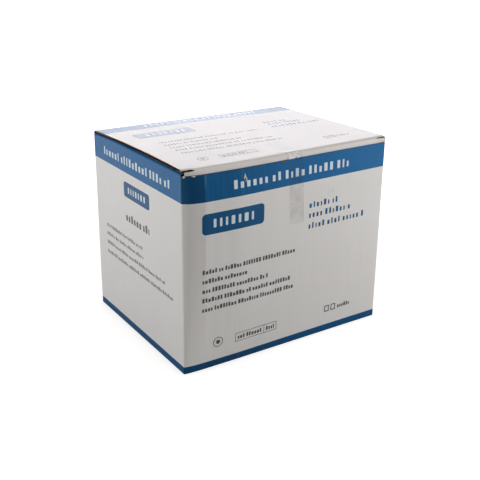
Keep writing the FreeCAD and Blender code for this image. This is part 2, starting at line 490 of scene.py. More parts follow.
# Heights in metres: over the first, print is the lid's, and over the second, tape is on the fold or the lid
LID_LEVEL = SIDE_HEIGHT * MM
TAPE_FOLD_LEVEL = 0.2075


class BoardFinish(Finish):
    """The coated liner: streaks over the flutes, faint mottling, rubbed folds, wear from handling, and
    painted light and shade.
    """

    def __init__(self, name):
        super().__init__(name)
        place = self.place()
        around, height = self.read("around"), self.axis(place, "Z")
        self.around, self.height = around, height
        self.wear_and_painted_light = self.read("wear_and_painted_light")
        self.streaks = self.grain(self.vector(around * 0.55, height * 9.0, 0.0), 1.0, 4.0, 0.7)
        self.broad = self.grain(self.vector(around * 0.06, height * 14.0, 3.0), 1.0, 2.0)
        self.mottle = self.grain(place, 60.0, 4.0)
        self.fibre = self.grain(place, 1400.0, 2.0)
        rub = self.grain(place, 420.0, 5.0, 0.65)
        self.rubbed = (self.wear_and_painted_light * (rub * 1.6 + 0.1)).above(0.62, 0.12)
        # Where painted highlights lie: lighter lines along the crease beside the corner and along the crease
        # at the tear
        creased = around.near(TURNED_CREASE, 1.9) * height.above(0.195, 0.005) * 0.75
        self.creased = (creased + around.near(TEAR_CREASE, 0.9) * 0.6) * (self.streaks * 0.8 + 0.5)
        # Where painted shade lies along the pressed line
        self.pressed = around.near(PRESSED_LINE, 3.0) * self.streaks
        # Where painted shade lies on the strip beside the front left corner
        self.turned_shade = around.above(TURNED_START, 0.4) * around.under(TURNED_END, 0.5)
        # Where painted shade lies: stripes over the ribs, and the part of the walls where they show
        ribs = self.grain(self.vector(around * 0.26, height * 5.0, 11.0), 1.0, 2.0, 0.6)
        self.ribs = ribs.above(0.52, 0.10)
        self.rib_shade = around.above(RIBBED_START, 0.5) * around.under(RIBBED_END, 60.0)
        self.white = tuple(settings().white)
        self.shade = scaled(self.white, 0.86)

    def liner(self):
        """The bare liner's colour before it is handled, with painted shade on the lid's right part."""
        streaked = self.streaks.above(0.5, 0.35) * 0.30 + self.broad * 0.18 + self.mottle * 0.14
        lid_right_shade = self.around.above(LID_SHADE_START, 60.0) * 0.45
        return self.mix(streaked + lid_right_shade, self.white, self.shade)

    def bare(self):
        """The liner without ink, with its wear and with painted light and shade."""
        around, height, mottle = self.around, self.height, self.mottle
        first, second = (around.near(at, reach) * height.near(up, rise) for at, reach, up, rise in SMEARS)
        fold_dirt = around.above(LID_DIRT_START, 5.0) * self.wear_and_painted_light
        # Rubbed places take the handled colour, which also paints shade on the pressed line and on the strip
        # beside the corner
        handled = self.rubbed * 0.35 + self.pressed * 0.08 + self.turned_shade * 0.10
        colour = self.mix(handled, self.liner(), HANDLED_AND_SHADED)
        # A painted highlight along the creases
        colour = self.mix(self.creased * 0.5, colour, self.white)
        # Painted shade over the ribs
        colour = self.mix(self.rib_shade * self.ribs * 0.25, colour, self.shade)
        # Deeper painted shade on the strip beside the corner, rising from the foot
        colour = self.mix(self.turned_shade * height.above(0.09, 0.06) * 0.36, colour, SHADED)
        colour = self.mix(fold_dirt * (mottle.above(0.5, 0.2) * 0.7 + 0.6), colour, DIRTY_FOLD)
        colour = self.mix((first + second) * mottle.above(0.5, 0.12) * 0.22, colour, SMEAR)
        return self.finished(colour, 0.36, 0.5, GLOSS)

    def inked(self, ink):
        """The liner under a flat ink, which is rubbed through at the folds, with painted light and shade."""
        ink = tuple(ink)
        # The paler and deeper inks give the ink's own streaks and also painted light and painted shade; the
        # darkest is painted shade
        light, deep, shaded_ink = scaled(ink, 1.30), scaled(ink, 0.80), scaled(ink, 0.5)
        # The low band, whose ink is painted in shade
        low = self.height.under(LOW_BAND_TOP * MM * 1.5, 0.002)
        # Painted light: the band is lighter towards the right of the front and on the faces beyond, and a
        # little on the left side
        painted_light_share = self.around.above(130.0, 120.0) * 0.8 + self.around.under(0.0, 1.0) * 0.25
        # Painted shade on the strip beside the corner and on the low band
        in_shade = self.turned_shade * (0.95 - low * 0.80) + low * (self.rib_shade * 0.25 + 0.60)
        varnish = (self.around.near(LID_GLOSS_AT, LID_GLOSS_REACH) * 1.6).maths("MINIMUM", 1.0)
        colour = self.mix(self.streaks.above(0.5, 0.28), deep, light)
        colour = self.mix(self.broad * 0.5 + self.mottle * 0.15, colour, ink)
        colour = self.mix(painted_light_share, colour, light)
        # Painted shade along the pressed line
        colour = self.mix(self.pressed * 0.6, colour, deep)
        # Painted shade over the ribs and over the part where they show
        colour = self.mix(self.rib_shade * (self.ribs * 0.40 + 0.15), colour, shaded_ink)
        colour = self.mix(in_shade, colour, shaded_ink)
        # A painted highlight along the creases
        colour = self.mix(self.creased * 0.22, colour, CREASE_HIGHLIGHT_INK)
        colour = self.mix(self.rubbed * 0.75, colour, self.liner())
        self.set(Coat_Weight=varnish * 0.26, Coat_Roughness=LID_GLOSS_ROUGHNESS)
        return self.finished(colour, 0.30, 0.25, INK_GLOSS)

    def finished(self, colour, roughness, gloss, tint):
        """The material, with the liner's fine relief."""
        relief = self.fibre * 0.5 + self.streaks * 0.5
        return self.set(
            Base_Color=colour, Roughness=self.mottle * 0.10 + roughness,
            Normal=self.bump(relief, 0.12, 0.0004), Specular_IOR_Level=gloss, Specular_Tint=tint,
        )


def kraft_finish():
    """The brown inner liner and cut edges, with near black painted shade in a cut edge's recess and on the
    slit tabs.
    """
    finish = Finish("kraft_board")
    kraft = tuple(settings().kraft)
    place = finish.place()
    fibre = finish.grain(place, 900.0, 5.0, 0.7)
    blotch = finish.grain(place, 130.0, 3.0)
    colour = finish.mix(fibre.above(0.5, 0.2) * 0.55 + blotch * 0.4, kraft, scaled(kraft, 0.62))
    # Painted shade where points are marked for it
    colour = finish.mix(finish.read("wear_and_painted_light") * 0.92, colour, RECESS_SHADE)
    return finish.set(
        Base_Color=colour, Roughness=0.85, Normal=finish.bump(fibre, 0.5, 0.0003), Specular_IOR_Level=0.2,
    )


def ink_finish(name, colour, spread, roughness, gloss, tint=GLOSS, lid_varnish=0.0):
    """A print colour that lies a little unevenly on the liner."""
    finish = Finish(name)
    colour = tuple(colour)
    lighter = tuple(value + (1.0 - value) * spread for value in colour[:3]) + (1.0,)
    place = finish.place()
    rub = finish.grain(place, 700.0, 4.0, 0.7)
    patch = finish.grain(place, 45.0, 3.0)
    mixed = finish.mix(rub.above(0.58, 0.12) * 0.6 + patch * 0.3, colour, lighter)
    if lid_varnish:
        on_top = finish.axis(place, "Z").above(LID_LEVEL, 0.0005)
        finish.set(Coat_Weight=on_top * lid_varnish, Coat_Roughness=LID_GLOSS_ROUGHNESS)
    return finish.set(
        Base_Color=mixed, Roughness=patch * 0.1 + roughness, Normal=finish.bump(rub, 0.08, 0.0002),
        Specular_IOR_Level=gloss, Specular_Tint=tint,
    )


def tape_finish():
    """Clear tape: a faint film that greys the board a little, with painted highlights where it is creased."""
    finish = Finish("clear_tape")
    place = finish.place()
    cloud = finish.grain(place, 90.0, 3.0, 0.6)
    fine = finish.grain(place, 900.0, 3.0, 0.6)
    patch = finish.grain(place, 330.0, 3.0, 0.6)
    # Painted highlights: near opaque white patches where the tape is sharply creased
    painted_glint = (finish.read("wear_and_painted_light") * (patch * 1.6 + 0.2)).above(0.72, 0.07)
    over_fold = finish.axis(place, "Z").above(TAPE_FOLD_LEVEL, 0.0008)
    film = (cloud.above(0.52, 0.22) * 0.05 + 0.02) * (1.0 - over_fold * 0.65)
    return finish.set(
        Base_Color=finish.mix(painted_glint, tuple(settings().tape), CRUMPLE_HIGHLIGHT), Roughness=fine * 0.12 + 0.16,
        Alpha=film + painted_glint * 0.9, Normal=finish.bump(cloud, 0.1, 0.0005), IOR=1.47,
    )


class Sheet:
    """Collects the faces of one piece, with their finishes and what the finishes read."""

    def __init__(self):
        self.points = []
        self.faces = []
        self.finishes = []
        self.marks = []

    def point(self, place, mark=0.0, wear_and_painted_light=0.0):
        self.points.append(placed(place))
        self.marks.append((mark, wear_and_painted_light))
        return len(self.points) - 1

    def face(self, corners, finish=0):
        self.faces.append(corners)
        self.finishes.append(finish)

    def grid(self, rows, finish=0, closed=False):
        """Faces between rows of point indices. The finish is a number or a function of row and column."""
        for number, (low, high) in enumerate(zip(rows, rows[1:])):
            count = len(low)
            for column in range(count if closed else count - 1):
                following = (column + 1) % count
                chosen = finish(number, column) if callable(finish) else finish
                self.face((low[column], low[following], high[following], high[column]), chosen)

    def shell(self, outer, inner, finish=0, inner_finish=None, ends=(0, -1)):
        """Faces over an outer and an inner layer of rows, and between the two along their borders."""
        inner_finish = finish if inner_finish is None else inner_finish
        self.grid(outer, finish)
        self.grid([list(reversed(row)) for row in inner], inner_finish)
        for side in (0, -1):
            self.grid([[row[side] for row in outer], [row[side] for row in inner]], inner_finish)
        for end in ends:
            self.grid([outer[end], inner[end]], inner_finish)

    def make(self, name, materials, smooth_angle):
        """The finished object, joined where points meet and smooth up to an angle."""
        mesh = bpy.data.meshes.new(name)
        mesh.from_pydata(self.points, [], self.faces)
        for material in materials:
            mesh.materials.append(material)
        mesh.polygons.foreach_set("material_index", self.finishes)
        for position, label in enumerate(("around", "wear_and_painted_light")):
            layer = mesh.attributes.new(label, "FLOAT", "POINT")
            layer.data.foreach_set("value", [mark[position] for mark in self.marks])
        join_close_points(mesh)
        mesh.validate()
        mesh.shade_smooth()
        mesh.set_sharp_from_angle(angle=math.radians(smooth_angle))
        piece = bpy.data.objects.new(name, mesh)
        bpy.context.scene.collection.objects.link(piece)
        return piece


def join_close_points(mesh):
    """Welds points that lie together, and turns every face outwards."""
    work = bmesh.new()
    work.from_mesh(mesh)
    bmesh.ops.remove_doubles(work, verts=work.verts, dist=JOIN_DISTANCE)
    bmesh.ops.recalc_face_normals(work, faces=work.faces)
    work.to_mesh(mesh)
    work.free()


def add_piece(sheet, name, materials, node=None, smooth_angle=SHARP_OVER):
    """Makes a piece from its sheet and puts it on the carton's body."""
    piece = sheet.make(name, materials, smooth_angle)
    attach(piece, "root")
    if node:
        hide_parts(node)


def wall_columns():
    """The walls' outline in plan, as (panel, the panel's own reading, how far around)."""
    inner = WIDTH - CORNER_RADIUS
    turns = [turn / (CORNER_TURNS + 1.0) for turn in range(1, CORNER_TURNS + 1)]
    behind = WIDTH + DEPTH
    columns = [("front", x, x) for x in steps(CORNER_RADIUS, inner, FLUTE_STEP)]
    columns += [("front_right", turn, WIDTH) for turn in turns]
    columns += [("right", y, WIDTH + y) for y in steps(CORNER_RADIUS, DEPTH, FLUTE_STEP)]
    columns += [("seam", corner, behind) for corner in range(len(SEAM_CORNERS))]
    columns += [("back", x, behind + x) for x in steps(SEAM_END, inner, FLUTE_STEP)]
    columns += [("back_left", turn, behind + WIDTH) for turn in turns]
    columns += [("left", y, y - DEPTH) for y in steps(CORNER_RADIUS, DEPTH - CORNER_RADIUS, FLUTE_STEP)]
    columns += [("front_left", turn, 0.0) for turn in turns]
    return columns


def rounded(start, corner, end, share):
    """A point of a rounded corner between two points."""
    first, second, third = (1.0 - share) ** 2, 2.0 * share * (1.0 - share), share ** 2
    return tuple(first * a + second * b + third * c for a, b, c in zip(start, corner, end))


def wall_point(panel, at, z):
    """A point of the walls at a height."""
    inner = WIDTH - CORNER_RADIUS
    plain = {"front": on_front, "right": on_right, "back": on_back, "left": on_left}
    if panel in plain:
        return plain[panel](at, z)
    if panel == "front_right":
        corner = (WIDTH, front_y(WIDTH, z), z)
        return rounded(on_front(inner, z), corner, on_right(CORNER_RADIUS, z), at)
    if panel == "back_left":
        return rounded(on_back(inner, z), (0.0, DEPTH, z), on_left(CORNER_RADIUS, z), at)
    if panel == "front_left":
        corner = (0.0, front_y(0.0, z), z)
        return rounded(on_left(DEPTH - CORNER_RADIUS, z), corner, on_front(CORNER_RADIUS, z), at)
    from_corner, sunk = SEAM_CORNERS[at]
    return (WIDTH - from_corner, DEPTH - sunk, z)


def wall_top(panel, at):
    """Where a wall's plain face ends and its upper fold or cut edge begins."""
    if panel == "back":
        return lid_heights(WIDTH - at)[2] - HINGE_RADIUS
    if panel == "seam":
        return lid_heights(WIDTH)[2] - HINGE_RADIUS
    if panel == "right":
        return side_top(WIDTH, at) - FOLD_RADIUS
    if panel == "left":
        return side_top(0.0, DEPTH - at) - FOLD_RADIUS
    if panel == "back_left":
        hinge = lid_heights(0.0)[2] - HINGE_RADIUS
        side = side_top(0.0, DEPTH - CORNER_RADIUS) - FOLD_RADIUS
        return hinge + at * (side - hinge)
    return FRONT_HEIGHT


def inward(panel, at, z, distance):
    """The point of a wall moved into the carton."""
    x, y, _ = wall_point(panel, at, z)
    if panel in ("front", "back", "seam"):
        return (x, y + distance if panel == "front" else y - distance, z)
    if panel in ("left", "right"):
        return (x + distance if panel == "left" else x - distance, y, z)
    turn_x = CORNER_RADIUS if x < WIDTH / 2.0 else WIDTH - CORNER_RADIUS
    turn_y = front_y(x, z) + CORNER_RADIUS if y < DEPTH / 2.0 else DEPTH - CORNER_RADIUS
    share = fading(distance, CORNER_RADIUS)
    past = max(0.0, distance - CORNER_RADIUS)
    past_x = past if x < WIDTH / 2.0 else -past
    past_y = past if y < DEPTH / 2.0 else -past
    return (turn_x + (x - turn_x) * share + past_x, turn_y + (y - turn_y) * share + past_y, z)


def wall_wear(panel, at, z):
    """How rubbed a place is: most at the corners, the foot and the cut edge."""
    foot = fading(z, FOOT_REACH)
    if panel in ("front_left", "front_right", "back_left", "seam"):
        return CORNER_WEAR[0] + CORNER_WEAR[1] * foot
    length = DEPTH if panel in ("left", "right") else WIDTH
    side = BESIDE_CORNER_WEAR[0] + BESIDE_CORNER_WEAR[1] * foot
    return max(
        fading(min(at, length - at), CORNER_REACH) * side,
        fading(z, FOOT_FOLD_REACH) * FOLD_WEAR,
        fading(FRONT_HEIGHT - z, FRONT_EDGE_REACH) * FRONT_EDGE_WEAR,
    )


def make_walls(materials):
    """The four walls, with the rounded folds at the corners and the foot."""
    sheet = Sheet()
    columns = wall_columns()
    rows = []
    for turn in range(FOOT_ROWS):
        angle = math.radians(90.0 * turn / FOOT_ROWS)
        tuck = CORNER_RADIUS * (1.0 - math.sin(angle))
        z = CORNER_RADIUS * (1.0 - math.cos(angle))
        rows.append([
            sheet.point(inward(panel, at, z, tuck), around, FOLD_WEAR) for panel, at, around in columns
        ])

    def add_row_at(z_of):
        row = []
        for panel, at, around in columns:
            z = z_of(panel, at)
            row.append(sheet.point(wall_point(panel, at, z), around, wall_wear(panel, at, z)))
        rows.append(row)

    for level in [CORNER_RADIUS] + steps(LOW_BAND_TOP, HIGH_BAND_BOTTOM, settings().row_height / MM):
        add_row_at(lambda panel, at: level)
    high_rows = len(rows) - 1
    for number in range(1, UPPER_ROWS + 1):
        share = number / UPPER_ROWS
        add_row_at(lambda panel, at: HIGH_BAND_BOTTOM + (wall_top(panel, at) - HIGH_BAND_BOTTOM) * share)

    def wall_finish(number, column):
        panel, at, _ = columns[column]
        if panel == "seam" or (panel == "right" and at > DEPTH - 0.01):
            return KRAFT
        return BLUE if number <= FOOT_ROWS or number >= high_rows else WHITE

    def inner_row(z_of, distance):
        return [sheet.point(inward(panel, at, z_of(panel, at), distance)) for panel, at, _ in columns]

    sheet.grid(rows, wall_finish, closed=True)
    rim = inner_row(wall_top, LINER)
    below_rim = inner_row(lambda panel, at: wall_top(panel, at) - RIM_DEPTH, LINER)
    sheet.grid([rows[-1], rim, below_rim], KRAFT, closed=True)
    sheet.face(tuple(below_rim), KRAFT)
    raised = inner_row(lambda panel, at: LOW_BAND_TOP, BOARD)
    sheet.grid([raised, rows[0]], KRAFT, closed=True)
    sheet.face(tuple(reversed(raised)), KRAFT)
    add_piece(sheet, "carton_walls", materials, "carton")


def strip(sheet, sections, edge=OPEN_EDGE):
    """A length of board from its sections: lists of (outer point, inner point, around, wear, finish).

    Both ends show the two liners' cut edges and a recess between them.
    """
    outer = [[sheet.point(o, around, wear_and_painted_light) for o, _, around, wear_and_painted_light, _ in section] for section in sections]
    inner = [[sheet.point(i, around) for _, i, around, _, _ in section] for section in sections]
    sheet.shell(outer, inner, lambda number, column: sections[number][column + 1][4], KRAFT, ends=())
    for end, beside in ((0, 1), (-1, -2)):
        close_board(sheet, sections[end], sections[beside], outer[end], inner[end], edge)


def close_board(sheet, section, beside, outer, inner, edge):
    """The cut edge at the end of a length of board."""
    rows = [outer]
    start, end, depth = edge
    low, high, rim = start + RECESS_SLOPE, end - RECESS_SLOPE, min(RECESS_RIM, depth / 2.0)
    for share, sunk in ((start, 0.0), (low, rim), (low, depth), (high, depth), (high, rim), (end, 0.0)):
        row = []
        for this, following in zip(section, beside):
            o, i = Vector(this[0]), Vector(this[1])
            along = (Vector(following[0]) - o).normalized() * sunk
            pinch = HINGE_PINCH * (1.0 - edge_fade(DEPTH - o.y, HINGE_PINCH_REACH))
            place = o.lerp(i, share + (end - share) * pinch) + along
            # Points in the recess are marked for painted shade
            row.append(sheet.point(place, this[2], 1.0 if sunk else 0.0))
        rows.append(row)
    rows.append(inner)
    sheet.grid(rows, KRAFT)
    for side in (0, -1):
        sheet.face(tuple(row[side] for row in rows), KRAFT)


def fold_turn(angle):
    """How far back and up a turn round the lid's squarish fold is, from nought to one."""
    turn = math.radians(angle)
    return abs(math.cos(turn)) ** FOLD_SQUARENESS, abs(math.sin(turn)) ** FOLD_SQUARENESS


def fold_angle(rise):
    """The angle round the fold at which it has risen by a share."""
    return math.degrees(math.asin(rise ** (1.0 / FOLD_SQUARENESS)))


def fold_forward(angle):
    """How far the lid's fold stands forward over the cut edge, at an angle round the fold."""
    return LID_FOLD_FORWARD * (1.0 - angle / 90.0)


def slit(x):
    """The heights of a slit lock's lower and upper side. It narrows towards its inner end."""
    left = x < WIDTH / 2.0
    floor, roof = LEFT_SLIT if left else RIGHT_SLIT
    from_end = LEFT_SLIT_END - x if left else x - RIGHT_SLIT_START
    rise = LEFT_SLIT_RISE * x / LEFT_SLIT_END if left else 0.0
    open_height = (roof - floor) * (0.35 + 0.65 * edge_fade(from_end, SLIT_TAPER))
    return floor + rise, floor + rise + open_height


def tuck_section(x, face, lift):
    """The lid's tuck flap, from its lower edge to the front fold."""
    from_end = min(x, WIDTH - x) - 2.0 * BOARD
    depth = TUCK_FLAP_DEPTH * max(0.0, min(1.0, from_end / TUCK_FLAP_TAPER))
    places = [(z, 0.0) for z in evenly(FRONT_HEIGHT - depth, FRONT_HEIGHT + 0.1, 2)]
    places.append((FRONT_HEIGHT + 0.2, fold_forward(0.0)))
    return [((x, face - lift - forward, z), (x, face + BOARD, z), 0.0, WHITE) for z, forward in places]


def front_fold_section(x, part, face, lift):
    """The lid's front fold: whole, or the part above or below a slit lock."""
    turn_y, turn_z = face + LID_FOLD_RADIUS, lid_heights(x)[0] - LID_FOLD_RADIUS
    reach, inner = LID_FOLD_RADIUS + lift, LID_FOLD_RADIUS - BOARD
    floor, roof = slit(x)
    low, high, forward = 0.0, 90.0, 0.0
    if part == "above":
        low = fold_angle((roof + LINER - turn_z) / LID_FOLD_RADIUS)
    if part == "below":
        high = fold_angle((floor - turn_z) / LID_FOLD_RADIUS)
        forward = (face - 2.0) * edge_fade(x - RIGHT_SLIT_START, WIDTH - RIGHT_SLIT_START)
    section = []
    for angle in evenly(low, high, FOLD_ROWS):
        back, rise = fold_turn(angle)
        outer_point = (x, turn_y - reach * back - fold_forward(angle) - forward, turn_z + reach * rise)
        inner_point = (x, turn_y - inner * back, turn_z + inner * rise)
        if part == "above":
            inner_point = (x, outer_point[1], roof)
        if part == "below":
            inner_point = (x, face + BOARD, outer_point[2])
        section.append((outer_point, inner_point, FRONT_EDGE_WEAR, WHITE))
    return section


def top_section(x, part, face):
    """The lid's top, from the front fold to the hinge."""
    turn_y, roof = face + LID_FOLD_RADIUS, slit(x)[1]
    section = []
    for y in evenly(turn_y, LID_BAND_START, LID_ROWS)[1:]:
        inner_z = roof if part == "above" and y < face + SLIT_DEPTH else lid_z(x, y) - BOARD
        wear_and_painted_light = LID_FRONT_WEAR * fading(y - turn_y, LID_FRONT_REACH)
        section.append((on_lid(x, y), (x, y, inner_z), wear_and_painted_light, WHITE))
    for y in evenly(LID_BAND_START, DEPTH - HINGE_RADIUS, LID_BAND_ROWS)[1:]:
        section.append((on_lid(x, y), (x, y, lid_z(x, y) - BOARD), 0.0, BLUE))
    return section


def hinge_section(x, lift):
    """The lid's hinge, which turns down to the rear wall."""
    centre_y, centre_z = DEPTH - HINGE_RADIUS, lid_heights(x)[2] - HINGE_RADIUS
    section = []
    for angle in evenly(0.0, 90.0, HINGE_ROWS)[1:]:
        back, rise = math.sin(math.radians(angle)), math.cos(math.radians(angle))
        outer_point, inner_point = (
            (x, centre_y + reach * back, centre_z + reach * rise)
            for reach in (HINGE_RADIUS + lift, HINGE_RADIUS - BOARD)
        )
        section.append((outer_point, inner_point, FOLD_WEAR, BLUE))
    return section


def lid_section(x, part):
    """The lid's section at a place along the front.

    The whole runs from the tuck flap over the fold to the hinge. At the slit locks it is two parts,
    one above the slit and one below it.
    """
    face = front_y(x, FRONT_HEIGHT) + BOARD
    lift = flute_lift(x) * edge_fade(min(x, WIDTH - x), LID_END_FADE)
    section = [] if part == "above" else tuck_section(x, face, lift)
    section += front_fold_section(x, part, face, lift)
    if part != "below":
        section += top_section(x, part, face) + hinge_section(x, lift)
    return [(outer, inner, LID_AROUND + x, wear_and_painted_light, finish) for outer, inner, wear_and_painted_light, finish in section]


def make_lid(materials):
    """The lid with its tuck flap, front fold, slit locks and hinge."""
    sheet = Sheet()
    lengths = (
        ("whole", LEFT_SLIT_END, RIGHT_SLIT_START),
        ("above", LID_INSET, LEFT_SLIT_END), ("above", RIGHT_SLIT_START, WIDTH - LID_INSET),
        ("below", SHOULDER_START, LEFT_SLIT_END), ("below", RIGHT_SLIT_START, WIDTH + 0.2),
    )
    for part, start, end in lengths:
        edge = SLIT_EDGE if part == "above" else OPEN_EDGE
        strip(sheet, [lid_section(x, part) for x in steps(start, end, FLUTE_STEP)], edge)
    add_piece(sheet, "carton_lid", materials, "carton")


def dust_section(panel, at):
    """The section of a side panel's upper fold and the dust flap that it turns into."""
    left = panel == "left"
    surface = on_left if left else on_right
    y = DEPTH - at if left else at
    top = side_top(0.0 if left else WIDTH, y)
    start_x = surface(at, top - FOLD_RADIUS)[0]
    out = -start_x if left else start_x - WIDTH
    around = at - DEPTH if left else WIDTH + at

    def place(depth, z):
        return (depth if left else WIDTH - depth, y, z)

    section = []
    for angle in evenly(0.0, 90.0, 6):
        turn = math.radians(angle)
        depth = FOLD_RADIUS * (1.0 - math.cos(turn)) - out * (1.0 - angle / 90.0)
        z = top - FOLD_RADIUS * (1.0 - math.sin(turn))
        section.append((place(depth, z), place(BOARD, min(z, top - BOARD)), around, FOLD_WEAR, BLUE))
    shown = DUST_FLAP_SHOWN if y > TUCK_FLAP_BACK else FOLD_RADIUS + 0.5
    for depth in evenly(FOLD_RADIUS, shown, 4)[1:]:
        droop = DUST_FLAP_DROOP * (depth - FOLD_RADIUS)
        section.append((place(depth, top - droop), place(depth, top - BOARD - droop), around, 0.0, WHITE))
    return section


def make_dust_flaps(materials):
    """The tops of the side panels, folded in under the lid, and their tips in the slit locks."""
    sheet = Sheet()
    for panel in ("left", "right"):
        stations = steps(CORNER_RADIUS, DEPTH - CORNER_RADIUS, FLUTE_STEP)
        strip(sheet, [dust_section(panel, at) for at in stations])
    tabs = (
        (SHOULDER_START, LEFT_SLIT_END, TAB_FRONT[0], LEFT_SLIT[0], LEFT_SLIT[1] + LEFT_SLIT_RISE),
        (RIGHT_SLIT_START, WIDTH + TAB_TIP, TAB_FRONT[1], RIGHT_SLIT[0], RIGHT_SLIT[1]),
    )
    for start, end, front, floor, roof in tabs:
        columns = [
            (x, front, TAB_BACK if x < WIDTH - 1.0 else TAB_TIP_BACK) for x in steps(start, end, FLUTE_STEP)
        ]
        # The tabs are marked for painted shade, so that they show dark in the slit locks
        slab(sheet, lambda x, y, z: (x, y, z), columns, 1, roof - 0.1, floor - 0.6, 0.0, KRAFT, 1.0)
    add_piece(sheet, "dust_flaps", materials, "carton")


def ribbon(sheet, path, low, high, thickness):
    """An upright strip of paper along a path in plan, closed all round."""
    rows = []
    for number, (x, y) in enumerate(path):
        before, after = path[max(0, number - 1)], path[min(len(path) - 1, number + 1)]
        along = Vector((after[0] - before[0], after[1] - before[1])).normalized()
        aside = Vector((-along.y, along.x)) * thickness / 2.0
        rows.append([
            sheet.point((x - aside.x, y - aside.y, low)), sheet.point((x - aside.x, y - aside.y, high)),
            sheet.point((x + aside.x, y + aside.y, high)), sheet.point((x + aside.x, y + aside.y, low)),
        ])
    sheet.grid([row + row[:1] for row in rows])
    sheet.face(tuple(reversed(rows[0])))
    sheet.face(tuple(rows[-1]))


def make_front_raw_edge(materials):
    """The front panel's cut edge: the fluting and the inner liner, behind the outer liner."""
    sheet = Sheet()
    start, end = CORNER_RADIUS + 0.5, WIDTH - CORNER_RADIUS - 0.5
    bottom = FRONT_HEIGHT - FLUTES_SHOWN
    swing = (BOARD - 2.0 * LINER) / 2.0 - 0.1
    path = []
    for x in steps(start, end, FLUTE_PITCH / 12.0):
        middle = on_front(x, FRONT_HEIGHT)[1] + BOARD / 2.0
        path.append((x, middle + swing * math.sin(2.0 * math.pi * x / FLUTE_PITCH)))
    ribbon(sheet, path, bottom, FRONT_HEIGHT - 0.15, FLUTE_PAPER)
    path = [(x, on_front(x, FRONT_HEIGHT)[1] + BOARD - 0.3) for x in steps(start, end, FLUTE_STEP)]
    ribbon(sheet, path, bottom, FRONT_HEIGHT - 0.02, 0.3)
    add_piece(sheet, "front_raw_edge", materials, "carton")


# How far ink stands over the liner and reaches under it
INK_OVER, INK_UNDER = 0.10, -0.05


def slab(sheet, surface, columns, rows=1, over=INK_OVER, under=INK_UNDER, around=0.0, finish=0, wear_and_painted_light=0.0):
    """A thin closed shape that follows a surface, from columns of (across, low, high)."""
    outer, inner = [], []
    for across, low, high in columns:
        heights = evenly(low, high, rows)
        outer.append([sheet.point(surface(across, up, over), around + across, wear_and_painted_light) for up in heights])
        inner.append([sheet.point(surface(across, up, under), around + across, wear_and_painted_light) for up in heights])
    sheet.shell(outer, inner, finish)


def block(left, low, right, high, radius=0.0):
    """The columns of a block with rounded corners."""
    radius = min(radius, (right - left) / 2.0, (high - low) / 2.0)
    turns = evenly(0.0, 90.0, 2 + int(radius * 1.3))[1:] if radius > 0.0 else [90.0]
    places = [left + radius * (1.0 - math.cos(math.radians(angle))) for angle in turns]
    ends = [left + right - place for place in reversed(places)]
    if ends[0] - places[-1] > 1e-6:
        middle = steps(places[-1], ends[0], FLUTE_STEP)[1:-1]
    else:
        middle, ends = [], ends[1:]
    columns = []
    for across in places + middle + ends:
        from_end = min(across - left, right - across)
        cut = 0.0
        if from_end < radius:
            cut = radius - math.sqrt(max(0.0, radius ** 2 - (radius - from_end) ** 2))
        columns.append((across, low + cut, high - cut))
    return columns


def disc(centre, level, radius):
    """The columns of a disc."""
    columns = []
    for angle in (15.0, 35.0, 60.0, 90.0, 120.0, 145.0, 165.0):
        rise = radius * math.sin(math.radians(angle))
        columns.append((centre - radius * math.cos(math.radians(angle)), level - rise, level + rise))
    return columns


# Sizes of the print: (height, block widths, gap, space between words, corner radius)
TITLE = (8.6, (2.6, 4.6), 3.1, 2.6, 0.7)
LARGE = (6.4, (1.9, 3.3), 2.3, 2.0, 0.5)
BOLD = (8.6, (3.4, 5.0), 2.0, 2.2, 0.7)
SMALL = (4.7, (1.8, 2.9), 0.95, 1.3, 0.35)
WORN = (4.7, (1.3, 2.5), 1.5, 1.6, 0.35)
FINE = (3.8, (1.1, 2.1), 1.2, 1.4, 0.3)
LOW_BLOCK = 0.72
FIRST_GROUP, LATER_GROUP = (3, 8), (2, 9)
THIN_LINE, THICK_LINE = 0.5, 1.1
RING_RADIUS, RING_LINE, DISC_RADIUS, RING_POINTS = 5.6, 0.7, 2.4, 36

# Shares of a plate's height and width: its corners, and where its blocks start and end
PLATE_CORNER = 0.2
PLATE_BLOCK_FOOT, PLATE_BLOCK_TOP = 0.30, 0.72
PLATE_BLOCKS_START, PLATE_BLOCKS_END = 0.17, 0.85
PLATE_BLOCK_WIDTHS, PLATE_BLOCK_GAP = (0.13, 0.25), 0.17
PLATE_BLOCK_LEAST, PLATE_BLOCK_RADIUS = 2.0, 1.3
PLATE_INK_OVER, PLATE_INK_UNDER = 0.16, 0.08


